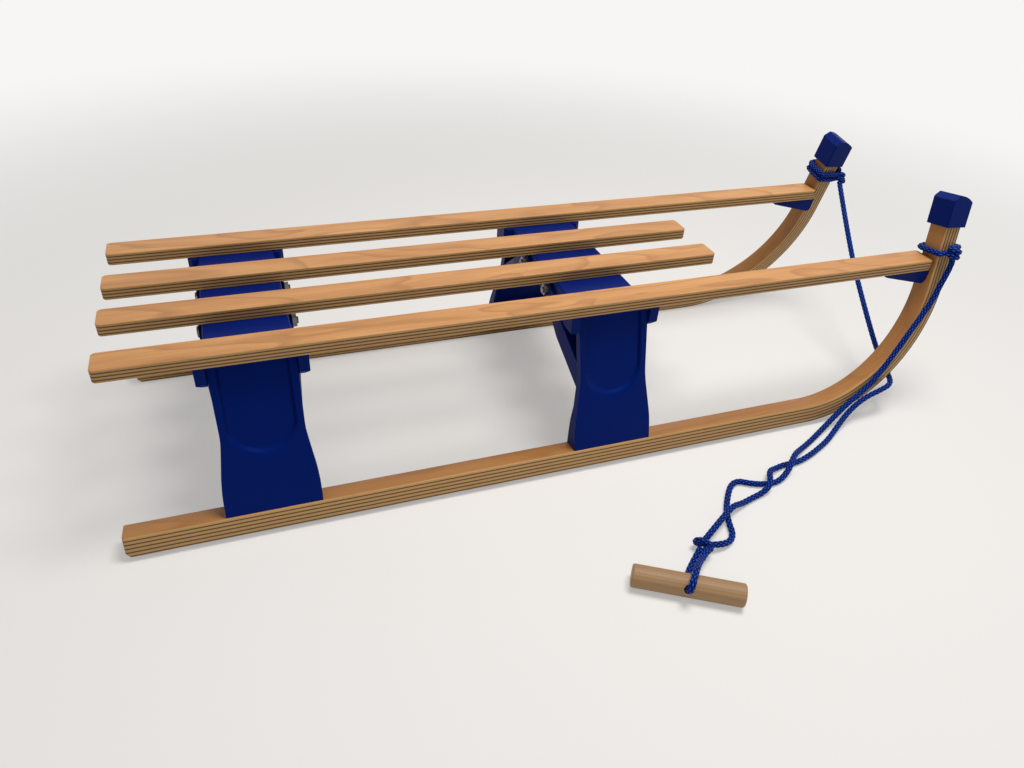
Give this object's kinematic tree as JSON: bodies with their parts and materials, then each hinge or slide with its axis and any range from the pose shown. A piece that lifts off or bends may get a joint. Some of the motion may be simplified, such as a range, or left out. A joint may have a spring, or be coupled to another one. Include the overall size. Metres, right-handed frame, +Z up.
{
  "type": "wooden sled",
  "caption": "Sled with bent laminated runners rising to upright horns, laminated seat slats on moulded plastic trestles, and a tow rope with a turned wooden handle.",
  "frame": {"origin": "on the ground under the middle of the sled's box, the tow rope left out", "axes": "+X forward towards the horns, +Y left, +Z up"},
  "size_m": [1.1093, 0.6264, 0.3106],
  "materials": {
    "slat_wood": "clear lacquered laminated wood",
    "runner_wood": "clear lacquered bent laminated wood",
    "blue_plastic": "fine matt moulded surface",
    "strip_steel": "rolled, lightly brushed",
    "bolt_steel": "zinc plated",
    "rope": "braided cord",
    "handle_wood": "turned, lacquered"
  },
  "bodies": {
    "root": {"beam_front": "blue_plastic", "beam_rear": "blue_plastic", "brace_bolt_front_left": "bolt_steel", "brace_bolt_front_right": "bolt_steel", "brace_bolt_rear_left": "bolt_steel", "brace_bolt_rear_right": "bolt_steel", "brace_nut_front_left": "bolt_steel", "brace_nut_front_right": "bolt_steel", "brace_nut_rear_left": "bolt_steel", "brace_nut_rear_right": "bolt_steel", "handle": "handle_wood", "horn_bracket_left": "blue_plastic", "horn_bracket_right": "blue_plastic", "horn_cap_left": "blue_plastic", "horn_cap_right": "blue_plastic", "leg_front_left": "blue_plastic", "leg_front_right": "blue_plastic", "leg_rear_left": "blue_plastic", "leg_rear_right": "blue_plastic", "rope_bight": "rope", "rope_knot": "rope", "rope_left": "rope", "rope_right": "rope", "rope_tie_left": "rope", "rope_tie_right": "rope", "runner_left": "runner_wood", "runner_right": "runner_wood", "running_strip_left": "strip_steel", "running_strip_right": "strip_steel", "slat_inner_left": "slat_wood", "slat_inner_right": "slat_wood", "slat_outer_left": "slat_wood", "slat_outer_right": "slat_wood"}
  },
  "joints": []
}
